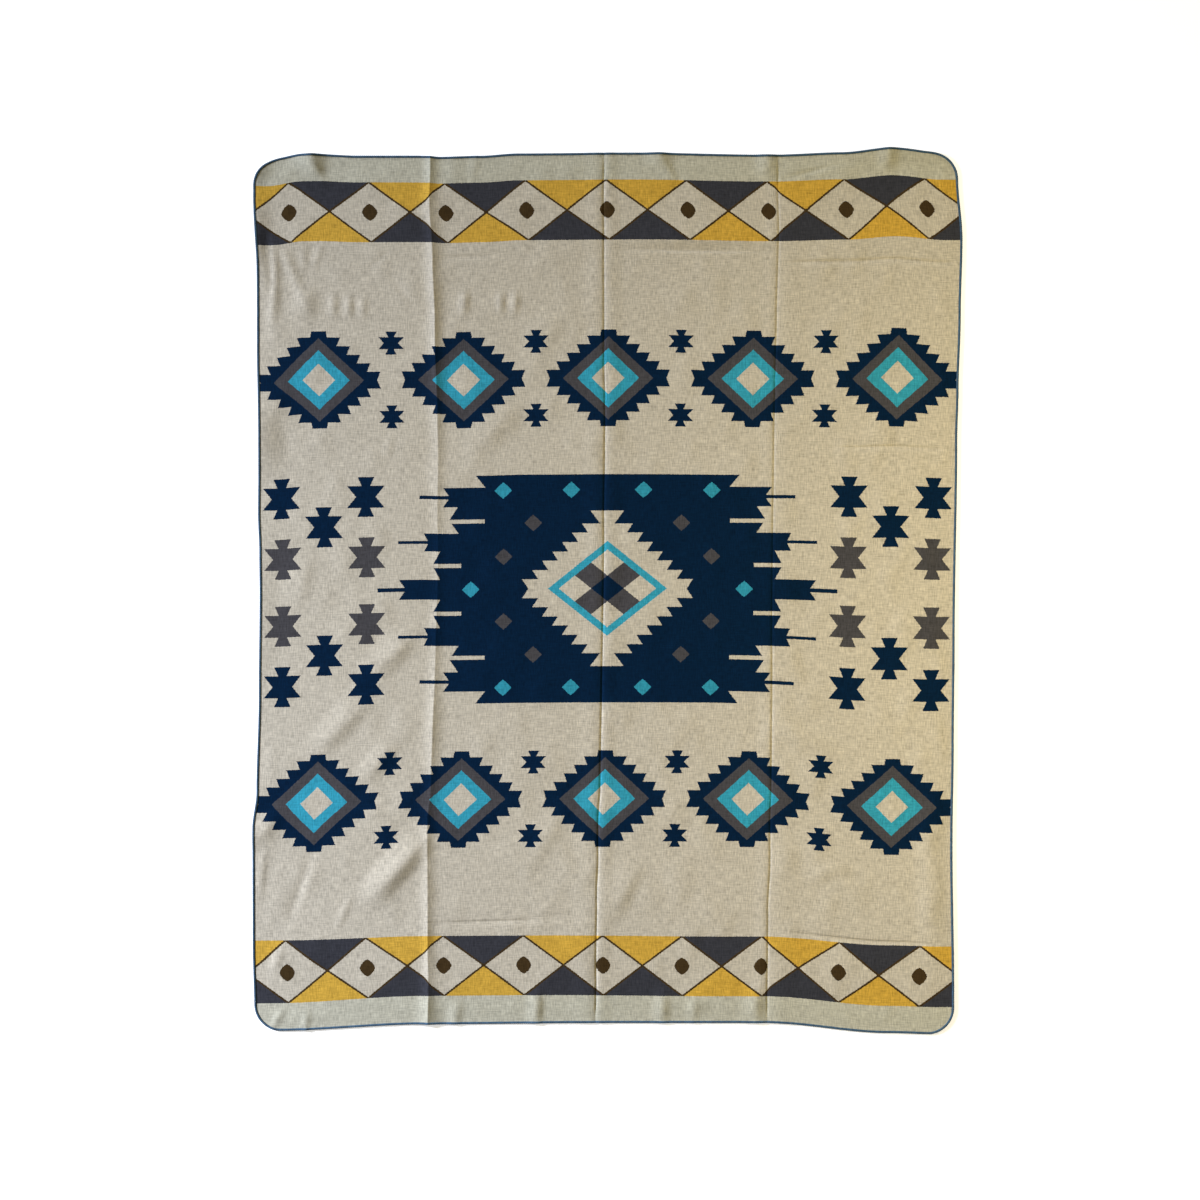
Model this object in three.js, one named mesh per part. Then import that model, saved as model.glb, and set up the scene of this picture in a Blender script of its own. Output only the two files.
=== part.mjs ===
// A throw blanket laid out on the surface under it: one woven panel with rounded corners, and an
// overcast yarn edging that wraps the panel's rim all the way round.
// Millimetres. X runs across the blanket, Y along it and Z up. The origin is on the surface, under
// the middle of the blanket.

import * as THREE from "three";

// Cut size of the cloth
const WIDTH = 1600;
const LENGTH = 2000;
const CORNER_RADIUS = 60;
const CLOTH_THICKNESS = 3;

// Overcast edging: its stitches squeeze the rim of the cloth and wrap round it
const RIM_THICKNESS = 1.6;
const YARN_THICKNESS = 0.7;
const YARN_GAP = 0.35;
const YARN_ROUNDING = 0.6;
const STITCH_BITE = 5;
const FLAT_RIM = 8;
const FULL_CLOTH = 40;

// Grid of the sheet: its longest step, and a finer one where soft folds lie close together
const GRID_STEP = 68;
const FINE_STEP = 26;
const FINE_COLUMNS = { from: -700, to: -440 };
const FINE_ROWS = { from: -740, to: -90 };
const RIM_INSETS = [0, 6, FULL_CLOTH];
const CORNER_STEPS = 5;
const DRAWN_IN_FROM = 560;
const FOLD_STEPS = [0, 0.3, 0.62, 1];
const BEND_REACH = 150;

// How far each edge lies outside (+) or inside (-) the straight cut, at its crests and troughs.
// "at" is measured along the edge from its middle.
const LEFT_EDGE = [
  { at: -961, out: 4 },
  { at: -800, out: 7.5 },
  { at: -537, out: 8 },
  { at: -456, out: -1 },
  { at: -227, out: -6.5 },
  { at: 0, out: -8.5 },
  { at: 94, out: -7.5 },
  { at: 186, out: -4.5 },
  { at: 369, out: -6 },
  { at: 553, out: -2 },
  { at: 747, out: -2 },
  { at: 919, out: 6 },
];
const RIGHT_EDGE = [
  { at: -915, out: -6 },
  { at: -571, out: -10 },
  { at: -340, out: -7 },
  { at: -112, out: -5 },
  { at: 346, out: 1 },
  { at: 461, out: 4 },
  { at: 633, out: 9 },
  { at: 805, out: 13 },
  { at: 942, out: 3 },
];
const TOP_EDGE = [
  { at: -770, out: -15 },
  { at: -690, out: -3 },
  { at: -656, out: -2.5 },
  { at: -564, out: -6 },
  { at: -430, out: -6 },
  { at: -375, out: -9 },
  { at: -289, out: -6.5 },
  { at: -197, out: -1 },
  { at: 60, out: 1 },
  { at: 376, out: -4 },
  { at: 537, out: 1.5 },
  { at: 651, out: 12 },
  { at: 766, out: 1 },
];
const BOTTOM_EDGE = [
  { at: -754, out: 5 },
  { at: -404, out: -10 },
  { at: 0, out: -13 },
  { at: 365, out: -13 },
  { at: 651, out: 10 },
  { at: 766, out: 13 },
];

// The wandering of the bottom hem dies out along the cloth almost evenly, that of the top hem sooner
const BOTTOM_FADE = 1.2;
const TOP_FADE = 2;

// Lines that folding has pressed into the cloth along its length. "line" is the place across the width
// and "at" the place along. The ridge stands up along its line, and a valley dips to the surface there
// between two low swells. "before" and "after" are the reach of the slope on each side.
const LEFT_RIDGE = [
  { at: -1000, line: -404, height: 7.4, before: 36, after: 46 },
  { at: -900, line: -402, height: 4.8, before: 26, after: 32 },
  { at: -720, line: -401, height: 3.8, before: 24, after: 27 },
  { at: -580, line: -401, height: 3.6, before: 28, after: 30 },
  { at: -450, line: -400, height: 2.8, before: 26, after: 26 },
  { at: -320, line: -399, height: 4.8, before: 30, after: 33 },
  { at: -150, line: -395, height: 2.6, before: 26, after: 24 },
  { at: 80, line: -390, height: 1.4, before: 22, after: 20 },
  { at: 300, line: -389, height: 2.6, before: 26, after: 24 },
  { at: 400, line: -391, height: 3.9, before: 28, after: 26 },
  { at: 620, line: -396, height: 6.4, before: 28, after: 32 },
  { at: 760, line: -402, height: 6.6, before: 28, after: 34 },
  { at: 860, line: -403, height: 5.4, before: 26, after: 32 },
  { at: 980, line: -399, height: 6.6, before: 24, after: 32 },
];
const MIDDLE_VALLEY = [
  { at: -1000, line: -20, height: 1.3, before: 60, after: 40 },
  { at: -900, line: -18, height: 1.3, before: 62, after: 40 },
  { at: -710, line: -14, height: 1.4, before: 62, after: 40 },
  { at: -620, line: -10, height: 1.5, before: 62, after: 40 },
  { at: -330, line: -11, height: 1.2, before: 56, after: 40 },
  { at: 350, line: -7, height: 1.4, before: 56, after: 46 },
  { at: 660, line: -11, height: 1.4, before: 52, after: 48 },
  { at: 760, line: -13, height: 1.4, before: 52, after: 44 },
  { at: 970, line: -4, height: 1.7, before: 50, after: 36 },
];
const RIGHT_VALLEY = [
  { at: -960, line: 373, height: 1.2, before: 40, after: 80 },
  { at: -750, line: 377, height: 0.9, before: 36, after: 80 },
  { at: -620, line: 384, height: 0.9, before: 36, after: 80 },
  { at: -310, line: 382, height: 0.9, before: 36, after: 80 },
  { at: 0, line: 380, height: 0.5, before: 36, after: 80 },
  { at: 355, line: 381, height: 0.7, before: 36, after: 80 },
  { at: 610, line: 382, height: 0.9, before: 40, after: 80 },
  { at: 750, line: 383, height: 0.8, before: 40, after: 80 },
  { at: 960, line: 392, height: 0.8, before: 36, after: 80 },
];
const PRESSED_LINES = [LEFT_RIDGE, MIDDLE_VALLEY, RIGHT_VALLEY];

// Soft folds: low mounds with a middle, a direction, a half length, and half widths to the left and to
// the right of that direction. The narrower side is the one that the cloth leans over.
const SOFT_FOLDS = [
  { u: -470, v: -644, turn: 48, along: 130, left: 56, right: 40, height: 8 },
  { u: -613, v: -314, turn: 45, along: 110, left: 54, right: 36, height: 4.2 },
  { u: -495, v: -148, turn: 42, along: 100, left: 53, right: 41, height: 4.6 },
  { u: -522, v: -396, turn: 52, along: 80, left: 40, right: 33, height: 3.4 },
  { u: -780, v: -547, turn: 47, along: 80, left: 40, right: 36, height: 4 },
  { u: 49, v: -700, turn: 61, along: 95, left: 80, right: 33, height: 3.8 },
  { u: -257, v: 374, turn: 49, along: 95, left: 100, right: 45, height: 4.2 },
  { u: 459, v: -342, turn: -22, along: 105, left: 36, right: 46, height: 3.2 },
  { u: 514, v: -644, turn: 21, along: 70, left: 36, right: 26, height: 2.4 },
  { u: -806, v: 850, turn: 90, along: 160, left: 60, right: 54, height: 8.5 },
  { u: -794, v: 372, turn: 88, along: 130, left: 70, right: 70, height: 8.5 },
  { u: -349, v: 965, turn: 90, along: 80, left: 38, right: 44, height: 2.2 },
  { u: -702, v: 25, turn: 75, along: 90, left: 60, right: 30, height: 2.4 },
  { u: -150, v: 560, turn: 70, along: 150, left: 60, right: 50, height: 1.5 },
  { u: -120, v: -560, turn: 62, along: 120, left: 50, right: 40, height: 1.5 },
];

// Power of the distance across a soft fold: below 2, its crest is sharper than a parabola's
const FOLD_ROUNDNESS = 1.5;

const BEIGE = "#b9b09b";
const NAVY = "#234160";

// One value of a table's rows at a place, eased from each row to the next
function easedValue(rows, at, value) {
  const after = rows.findIndex((row) => row.at > at);
  if (after === 0) return rows[0][value];
  if (after < 0) return rows[rows.length - 1][value];
  const low = rows[after - 1];
  const high = rows[after];
  const share = THREE.MathUtils.smoothstep(at, low.at, high.at);
  return THREE.MathUtils.lerp(low[value], high[value], share);
}

// Where a point of the flat cloth lies: the wandering of each edge fades towards the opposite one
function layPoint(u, v) {
  const fromLeft = u / WIDTH + 0.5;
  const fromBottom = THREE.MathUtils.clamp(v / LENGTH + 0.5, 0, 1);
  const left = (1 - fromLeft) * easedValue(LEFT_EDGE, v, "out");
  const right = fromLeft * easedValue(RIGHT_EDGE, v, "out");
  const bottom = (1 - fromBottom) ** BOTTOM_FADE * easedValue(BOTTOM_EDGE, u, "out");
  const top = fromBottom ** TOP_FADE * easedValue(TOP_EDGE, u, "out");
  return new THREE.Vector2(u - left + right, v - bottom + top);
}

// Distance from a pressed line as a share of the slope's reach on that side, up to 1
function slopeShare(rows, u, v) {
  const offset = u - easedValue(rows, v, "line");
  const reach = easedValue(rows, v, offset < 0 ? "before" : "after");
  return Math.min(1, Math.abs(offset) / reach);
}

function ridgeHeight(rows, u, v) {
  return easedValue(rows, v, "height") * (1 - slopeShare(rows, u, v)) ** 2;
}

// A valley's swells reach the stated height at a third of their reach
function valleyHeight(rows, u, v) {
  const share = slopeShare(rows, u, v);
  return easedValue(rows, v, "height") * (27 / 4) * share * (1 - share) ** 2;
}

function softFoldHeight(fold, u, v) {
  const turned = new THREE.Vector2(u - fold.u, v - fold.v)
    .rotateAround(new THREE.Vector2(), THREE.MathUtils.degToRad(-fold.turn));
  const along = Math.min(1, Math.abs(turned.x) / fold.along);
  const across = Math.min(1, Math.abs(turned.y) / (turned.y > 0 ? fold.left : fold.right));
  return fold.height * ((1 - along ** 2) * (1 - across ** FOLD_ROUNDNESS)) ** 2;
}

// How far the cloth is lifted off the surface by its folds, which run level across the stitched rim
function foldHeight(u, v) {
  const across = THREE.MathUtils.clamp(u, FLAT_RIM - WIDTH / 2, WIDTH / 2 - FLAT_RIM);
  const along = THREE.MathUtils.clamp(v, FLAT_RIM - LENGTH / 2, LENGTH / 2 - FLAT_RIM);
  const heights = [
    ridgeHeight(LEFT_RIDGE, across, along),
    valleyHeight(MIDDLE_VALLEY, across, along),
    valleyHeight(RIGHT_VALLEY, across, along),
    ...SOFT_FOLDS.map((fold) => softFoldHeight(fold, across, along)),
  ];
  return heights.reduce((sum, height) => sum + height, 0);
}

// Distance in from the cut edge, on a rectangle with rounded corners
function insetFromEdge(u, v) {
  const overX = Math.abs(u) - (WIDTH / 2 - CORNER_RADIUS);
  const overY = Math.abs(v) - (LENGTH / 2 - CORNER_RADIUS);
  const outside = Math.hypot(Math.max(overX, 0), Math.max(overY, 0));
  return CORNER_RADIUS - outside - Math.min(Math.max(overX, overY), 0);
}

// Underside and thickness of the cloth: squeezed and lifted at the rim, full further in
function clothSection(u, v) {
  const squeeze = 1 - THREE.MathUtils.smoothstep(insetFromEdge(u, v), FLAT_RIM, FULL_CLOTH);
  const underside = foldHeight(u, v) + squeeze * (YARN_THICKNESS + YARN_GAP);
  const thickness = THREE.MathUtils.lerp(CLOTH_THICKNESS, RIM_THICKNESS, squeeze);
  return { underside, thickness };
}

// Adds even lines wherever two neighbours lie further apart than the step there
function fillLines(fixed, fine) {
  const sorted = [...new Set([...fixed, fine.from, fine.to])].sort((a, b) => a - b);
  const lines = [sorted[0]];
  for (const line of sorted.slice(1)) {
    const start = lines[lines.length - 1];
    const step = start >= fine.from && line <= fine.to ? FINE_STEP : GRID_STEP;
    const count = Math.ceil((line - start) / step);
    for (let k = 1; k <= count; k += 1) lines.push(start + ((line - start) * k) / count);
  }
  return lines;
}

function meanOf(rows, value) {
  return rows.reduce((sum, row) => sum + row[value], 0) / rows.length;
}

// Grid lines down the slopes of a pressed line, at its mean place and reach
function slopeLines(rows) {
  const line = meanOf(rows, "line");
  return FOLD_STEPS.flatMap((step) => [
    line - step * meanOf(rows, "before"),
    line + step * meanOf(rows, "after"),
  ]);
}

function sheetColumns() {
  const sides = RIM_INSETS.flatMap((inset) => [inset - WIDTH / 2, WIDTH / 2 - inset]);
  return fillLines([...sides, ...PRESSED_LINES.flatMap(slopeLines)], FINE_COLUMNS);
}

function sheetRows() {
  const arcs = [];
  for (let step = 0; step <= CORNER_STEPS; step += 1) {
    const rise = CORNER_RADIUS * Math.sin((step / CORNER_STEPS) * (Math.PI / 2));
    const row = LENGTH / 2 - CORNER_RADIUS + rise;
    arcs.push(-row, row);
  }
  return fillLines(arcs, FINE_ROWS);
}

// How far a column near a pressed line moves on one row, to follow the line's wandering
function bend(column, v) {
  const moves = PRESSED_LINES.map((rows) => {
    const line = meanOf(rows, "line");
    const near = Math.max(0, 1 - Math.abs(column - line) / BEND_REACH);
    return near * (easedValue(rows, v, "line") - line);
  });
  return moves.reduce((sum, move) => sum + move, 0);
}

// A column's place on one row: the outer columns draw in where the corners are rounded
function drawIn(column, v) {
  const over = Math.max(0, Math.abs(v) - (LENGTH / 2 - CORNER_RADIUS));
  const cutBack = CORNER_RADIUS - Math.sqrt(Math.max(0, CORNER_RADIUS ** 2 - over ** 2));
  const outer = Math.max(0, Math.abs(column) - DRAWN_IN_FROM);
  return column - Math.sign(column) * cutBack * (outer / (WIDTH / 2 - DRAWN_IN_FROM));
}

// The flat cloth as a grid of points, row by row from the bottom left
function flatGrid() {
  const columns = sheetColumns();
  const rows = sheetRows();
  const place = (column, v) => drawIn(column, v) + bend(column, v);
  const points = rows.flatMap((v) => columns.map((column) => ({ u: place(column, v), v })));
  return { points, width: columns.length, height: rows.length };
}

// Places of the grid's outer points, anticlockwise seen from above
function rimRing({ width, height }) {
  const last = width * height - 1;
  const ring = [];
  for (let i = 0; i < width - 1; i += 1) ring.push(i);
  for (let j = 0; j < height - 1; j += 1) ring.push(j * width + width - 1);
  for (let i = 0; i < width - 1; i += 1) ring.push(last - i);
  for (let j = height - 1; j > 0; j -= 1) ring.push(j * width);
  return ring;
}

function closedGeometry(positions, triangles) {
  const geometry = new THREE.BufferGeometry();
  geometry.setAttribute("position", new THREE.Float32BufferAttribute(positions, 3));
  geometry.setIndex(triangles);
  geometry.computeVertexNormals();
  return geometry;
}

// Woven panel: a top face and an underside on the same grid, joined round the rim
function panelGeometry(grid) {
  const top = [];
  const underside = [];
  for (const { u, v } of grid.points) {
    const place = layPoint(u, v);
    const section = clothSection(u, v);
    top.push(place.x, place.y, section.underside + section.thickness);
    underside.push(place.x, place.y, section.underside);
  }
  const below = grid.points.length;
  const triangles = [];
  for (let j = 0; j < grid.height - 1; j += 1) {
    for (let i = 0; i < grid.width - 1; i += 1) {
      const a = j * grid.width + i;
      const b = a + 1;
      const c = b + grid.width;
      const d = a + grid.width;
      triangles.push(a, b, c, a, c, d);
      triangles.push(below + a, below + c, below + b, below + a, below + d, below + c);
    }
  }
  const ring = rimRing(grid);
  ring.forEach((a, k) => {
    const b = ring[(k + 1) % ring.length];
    triangles.push(below + a, below + b, b, below + a, b, a);
  });
  return closedGeometry([...top, ...underside], triangles);
}

// Section of the edging, as distance out from the cut edge and height: a squared-off C whose mouth
// takes the rim of the cloth
function edgingSection() {
  const height = RIM_THICKNESS + 2 * (YARN_GAP + YARN_THICKNESS);
  const outer = YARN_GAP + YARN_THICKNESS;
  return [
    { out: -STITCH_BITE, up: 0 },
    { out: outer - YARN_ROUNDING, up: 0 },
    { out: outer, up: YARN_ROUNDING },
    { out: outer, up: height - YARN_ROUNDING },
    { out: outer - YARN_ROUNDING, up: height },
    { out: -STITCH_BITE, up: height },
    { out: -STITCH_BITE, up: height - YARN_THICKNESS },
    { out: YARN_GAP, up: height - YARN_THICKNESS },
    { out: YARN_GAP, up: YARN_THICKNESS },
    { out: -STITCH_BITE, up: YARN_THICKNESS },
  ];
}

// Outward direction at a corner of the flat rim, lengthened so that both its sides are offset evenly
function mitre(before, here, after) {
  const turnOut = (from, to) => new THREE.Vector2(to.v - from.v, from.u - to.u).normalize();
  const first = turnOut(before, here);
  const second = turnOut(here, after);
  const middle = first.clone().add(second).normalize();
  return middle.divideScalar(middle.dot(first));
}

// Edging: its section carried round the flat rim, then laid and lifted with the cloth
function edgingGeometry(grid) {
  const rim = rimRing(grid).map((index) => grid.points[index]);
  const section = edgingSection();
  const positions = [];
  const triangles = [];
  rim.forEach((here, k) => {
    const outward = mitre(rim.at(k - 1), here, rim[(k + 1) % rim.length]);
    for (const { out, up } of section) {
      const u = here.u + out * outward.x;
      const v = here.v + out * outward.y;
      const place = layPoint(u, v);
      positions.push(place.x, place.y, foldHeight(u, v) + up);
    }
    const start = k * section.length;
    const next = ((k + 1) % rim.length) * section.length;
    for (let j = 0; j < section.length; j += 1) {
      const above = (j + 1) % section.length;
      triangles.push(start + j, next + j, start + above);
      triangles.push(next + j, next + above, start + above);
    }
  });
  return closedGeometry(positions, triangles);
}

function namedMesh(name, geometry, color, roughness) {
  const mesh = new THREE.Mesh(geometry, new THREE.MeshStandardMaterial({ color, roughness, metalness: 0 }));
  mesh.name = name;
  return mesh;
}

const grid = flatGrid();
const blanket = new THREE.Group();
blanket.add(namedMesh("panel", panelGeometry(grid), BEIGE, 0.9));
blanket.add(namedMesh("edge_binding", edgingGeometry(grid), NAVY, 0.8));

// The middle of the blanket's box stands over the origin
const middle = new THREE.Box3().setFromObject(blanket).getCenter(new THREE.Vector3());
blanket.position.set(-middle.x, -middle.y, 0);

export default blanket;
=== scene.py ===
# %% [markdown]
# A throw blanket lies face up on a pale floor, seen from straight above. The real one is a single panel
# of jacquard cloth with rounded corners, and its cut edge is overcast all round with dark blue yarn.
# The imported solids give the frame: everything made here is in metres, on the same origin.

import bpy
import numpy as np
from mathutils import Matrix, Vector


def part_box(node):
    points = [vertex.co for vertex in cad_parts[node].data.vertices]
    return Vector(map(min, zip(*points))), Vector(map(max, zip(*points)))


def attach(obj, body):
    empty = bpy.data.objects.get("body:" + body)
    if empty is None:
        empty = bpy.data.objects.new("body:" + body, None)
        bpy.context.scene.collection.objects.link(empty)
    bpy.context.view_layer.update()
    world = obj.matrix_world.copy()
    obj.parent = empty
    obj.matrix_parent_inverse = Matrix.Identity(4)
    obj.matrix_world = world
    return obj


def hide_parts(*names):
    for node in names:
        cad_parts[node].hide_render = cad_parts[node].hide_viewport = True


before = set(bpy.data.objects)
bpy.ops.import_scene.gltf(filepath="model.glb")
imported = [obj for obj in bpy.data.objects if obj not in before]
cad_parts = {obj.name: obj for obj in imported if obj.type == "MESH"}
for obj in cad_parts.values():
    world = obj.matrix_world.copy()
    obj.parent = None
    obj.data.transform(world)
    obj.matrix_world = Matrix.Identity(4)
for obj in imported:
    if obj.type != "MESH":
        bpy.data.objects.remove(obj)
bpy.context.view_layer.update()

# %% [markdown]
# The cloth is described flat first, as it was cut, and then laid. Sizes are in millimetres because a
# weaver measures so, and they become metres only when a mesh is made. The edges of the blanket wander
# a little as it lies, so each one has a short table of its crests and troughs.

# %% Sizes of the cut cloth and the way its edges lie
MM = 0.001
WIDTH = 1600
LENGTH = 2000
CORNER_RADIUS = 60
CLOTH_THICKNESS = 3
RIM_THICKNESS = 1.6
YARN_THICKNESS = 0.7
YARN_GAP = 0.35
FLAT_RIM = 8
FULL_CLOTH = 40

# Rows are (place along the edge from its middle, distance outside the straight cut)
LEFT_EDGE = [
    (-961, 4),
    (-800, 7.5),
    (-537, 8),
    (-456, -1),
    (-227, -6.5),
    (0, -8.5),
    (94, -7.5),
    (186, -4.5),
    (369, -6),
    (553, -2),
    (747, -2),
    (919, 6),
]
RIGHT_EDGE = [
    (-915, -6),
    (-571, -10),
    (-340, -7),
    (-112, -5),
    (346, 1),
    (461, 4),
    (633, 9),
    (805, 13),
    (942, 3),
]
TOP_EDGE = [
    (-770, -15),
    (-690, -3),
    (-656, -2.5),
    (-564, -6),
    (-430, -6),
    (-375, -9),
    (-289, -6.5),
    (-197, -1),
    (60, 1),
    (376, -4),
    (537, 1.5),
    (651, 12),
    (766, 1),
]
BOTTOM_EDGE = [(-754, 5), (-404, -10), (0, -13), (365, -13), (651, 10), (766, 13)]
BOTTOM_FADE = 1.2
TOP_FADE = 2.0


def eased(rows, at, column=1):
    """Value at a place: a smoothstep from each row of a table to the next, level past its ends."""
    table = np.array(rows, float)
    places = table[:, 0]
    values = table[:, column]
    low = np.clip(np.searchsorted(places, at, side="right") - 1, 0, len(places) - 2)
    share = np.clip((at - places[low]) / (places[low + 1] - places[low]), 0, 1)
    return values[low] + (values[low + 1] - values[low]) * share**2 * (3 - 2 * share)


def lay(u, v):
    """Where flat points lie: the wandering of each edge fades towards the opposite one."""
    from_left = u / WIDTH + 0.5
    from_bottom = np.clip(v / LENGTH + 0.5, 0, 1)
    x = u - (1 - from_left) * eased(LEFT_EDGE, v) + from_left * eased(RIGHT_EDGE, v)
    y = v - (1 - from_bottom) ** BOTTOM_FADE * eased(BOTTOM_EDGE, u)
    y = y + from_bottom**TOP_FADE * eased(TOP_EDGE, u)
    return x, y


print("flat cut:", WIDTH, "by", LENGTH, "mm")

# %% [markdown]
# Folding has pressed three lines into the cloth along its length. On the real blanket the left one
# stands up as a narrow ridge, and the middle one and the right one dip between two low swells. Each has
# a table, because a pressed line is never even: it wanders, and its slopes rise and fall.

# %% Pressed lines
# Rows are (place along, place across, height, reach to the left, reach to the right)
ACROSS = 1
HEIGHT = 2
LEFT_REACH = 3
RIGHT_REACH = 4
LEFT_RIDGE = [
    (-1000, -404, 7.4, 36, 46),
    (-900, -402, 4.8, 26, 32),
    (-720, -401, 3.8, 24, 27),
    (-580, -401, 3.6, 28, 30),
    (-450, -400, 2.8, 26, 26),
    (-320, -399, 4.8, 30, 33),
    (-150, -395, 2.6, 26, 24),
    (80, -390, 1.4, 22, 20),
    (300, -389, 2.6, 26, 24),
    (400, -391, 3.9, 28, 26),
    (620, -396, 6.4, 28, 32),
    (760, -402, 6.6, 28, 34),
    (860, -403, 5.4, 26, 32),
    (980, -399, 6.6, 24, 32),
]
MIDDLE_VALLEY = [
    (-1000, -20, 1.3, 60, 40),
    (-900, -18, 1.3, 62, 40),
    (-710, -14, 1.4, 62, 40),
    (-620, -10, 1.5, 62, 40),
    (-330, -11, 1.2, 56, 40),
    (350, -7, 1.4, 56, 46),
    (660, -11, 1.4, 52, 48),
    (760, -13, 1.4, 52, 44),
    (970, -4, 1.7, 50, 36),
]
RIGHT_VALLEY = [
    (-960, 373, 1.2, 40, 80),
    (-750, 377, 0.9, 36, 80),
    (-620, 384, 0.9, 36, 80),
    (-310, 382, 0.9, 36, 80),
    (0, 380, 0.5, 36, 80),
    (355, 381, 0.7, 36, 80),
    (610, 382, 0.9, 40, 80),
    (750, 383, 0.8, 40, 80),
    (960, 392, 0.8, 36, 80),
]
PRESSED_LINES = (LEFT_RIDGE, MIDDLE_VALLEY, RIGHT_VALLEY)
# Brings the crest of t (1 - t) squared, at one third, to 1
SWELL_SCALE = 27 / 4


def slope_share(rows, across, along):
    """Distance from a wandering line as a share of the slope's reach on that side, up to 1."""
    offset = across - eased(rows, along, ACROSS)
    reach = np.where(offset < 0, eased(rows, along, LEFT_REACH), eased(rows, along, RIGHT_REACH))
    return np.clip(np.abs(offset) / reach, 0, 1)


def ridge(rows, across, along):
    """A sharp ridge: its height times (1 - t) squared, with t the share of the slope."""
    return eased(rows, along, HEIGHT) * (1 - slope_share(rows, across, along)) ** 2


def valley(rows, across, along):
    """A dip between two swells: its height times 27/4 t (1 - t) squared, which crests at one third."""
    t = slope_share(rows, across, along)
    return eased(rows, along, HEIGHT) * SWELL_SCALE * t * (1 - t) ** 2


print("pressed lines: 1 ridge, 2 valleys")

# %% [markdown]
# Between the lines the cloth has slack, and lies in soft folds. Each is a low mound, with its middle, a
# direction, half sizes and a height, steeper on one side where the cloth leans over. They are placed one
# by one: large leaning folds at the lower left, ripples along the hems and upright wrinkles at the upper
# left. Fine creases are troughs in the top face only, as the cloth itself is pinched there.

# %% Soft folds and fine creases
# Rows are (middle across, middle along, direction in degrees, half length, half width on the left of
# that direction, half width on the right, height)
SOFT_FOLDS = [
    (-470, -644, 48, 130, 56, 40, 8.0),
    (-613, -314, 45, 110, 54, 36, 4.2),
    (-495, -148, 42, 100, 53, 41, 4.6),
    (-522, -396, 52, 80, 40, 33, 3.4),
    (-780, -547, 47, 80, 40, 36, 4.0),
    (49, -700, 61, 95, 80, 33, 3.8),
    (-257, 374, 49, 95, 100, 45, 4.2),
    (459, -342, -22, 105, 36, 46, 3.2),
    (514, -644, 21, 70, 36, 26, 2.4),
    (-806, 850, 90, 160, 60, 54, 8.5),
    (-794, 372, 88, 130, 70, 70, 8.5),
    (-349, 965, 90, 80, 38, 44, 2.2),
    (-702, 25, 75, 90, 60, 30, 2.4),
    (-150, 560, 70, 150, 60, 50, 1.5),
    (-120, -560, 62, 120, 50, 40, 1.5),
]
WRINKLES = [
    (-790, 972, 50, 56, 30, 34, 6.0),
    (-800, 800, 90, 80, 24, 30, 5.0),
    (-783, 720, 90, 80, 24, 22, 2.4),
    (-760, 740, 91, 120, 13, 17, 3.6),
    (-766, 668, 88, 60, 18, 22, 3.0),
    (-722, 735, 111, 120, 13, 24, 3.6),
    (-695, 762, 90, 50, 12, 12, 2.0),
    (-663, 768, 71, 50, 14, 14, 1.8),
    (-686, 663, 90, 48, 50, 36, 3.2),
    (-626, 656, 90, 38, 18, 11, 3.2),
    (-591, 654, 92, 36, 17, 10, 3.6),
    (-559, 652, 90, 34, 16, 10, 2.8),
    (-328, 665, 88, 38, 18, 11, 4.0),
    (-245, 660, 92, 34, 16, 10, 3.4),
    (-213, 658, 90, 36, 16, 12, 4.0),
    (188, 804, 0, 215, 50, 27, 3.6),
    (-503, 330, 80, 34, 12, 12, 1.6),
    (-780, -640, 86, 80, 16, 16, 2.0),
    (-812, -640, 90, 330, 40, 62, 3.2),
    (-812, -60, 90, 330, 40, 62, 3.0),
    (748, -640, 90, 300, 40, 50, 2.2),
    (-592, -738, 66, 60, 14, 10, 1.8),
    (-745, -838, 70, 45, 18, 14, 2.4),
]
HEM_RIPPLES = [
    (-672, 1000, -60, 58, 40, 54, 12.0),
    (-656, 966, -58, 50, 14, 34, 4.0),
    (120, 1000, 90, 46, 44, 50, 6.5),
    (142, 966, -60, 60, 10, 34, 3.2),
    (366, 988, 90, 60, 34, 38, 5.5),
    (642, 985, 85, 50, 30, 30, 5.0),
    (660, 1012, 0, 190, 60, 64, 7.0),
    (-300, 975, 80, 44, 16, 16, 1.8),
    (-340, -980, 80, 50, 24, 20, 3.2),
    (-154, -966, 88, 66, 32, 18, 4.6),
    (133, -966, 88, 58, 28, 24, 4.0),
    (205, -972, 88, 44, 20, 14, 1.8),
    (345, -960, 88, 62, 44, 24, 4.2),
    (-683, -984, 85, 42, 14, 13, 3.0),
    (-750, -976, 60, 42, 14, 14, 2.6),
]
FINE_CREASES = [
    (-690, -675, 71, 120, 24, 12, 2.2),
    (520, 754, 0, 150, 4, 14, 2.0),
    (700, 752, 0, 150, 4, 14, 2.0),
    (188, 778, 0, 210, 20, 8, 1.8),
    (-323, 768, 0, 80, 10, 9, 1.4),
    (470, 960, 13, 95, 8, 8, 1.8),
    (644, 329, 0, 170, 4, 12, 1.6),
    (-240, -764, 1, 215, 5, 14, 1.4),
    (587, -792, -1, 225, 4, 12, 2.2),
    (-124, -755, 2, 115, 8, 8, 1.2),
    (-468, 686, -52, 66, 8, 8, 1.6),
    (-525, 761, 45, 42, 8, 8, 1.0),
]

# Under 2, the power makes a mound sharper across its crest than along it
CREST_POWER = 1.5


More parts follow.
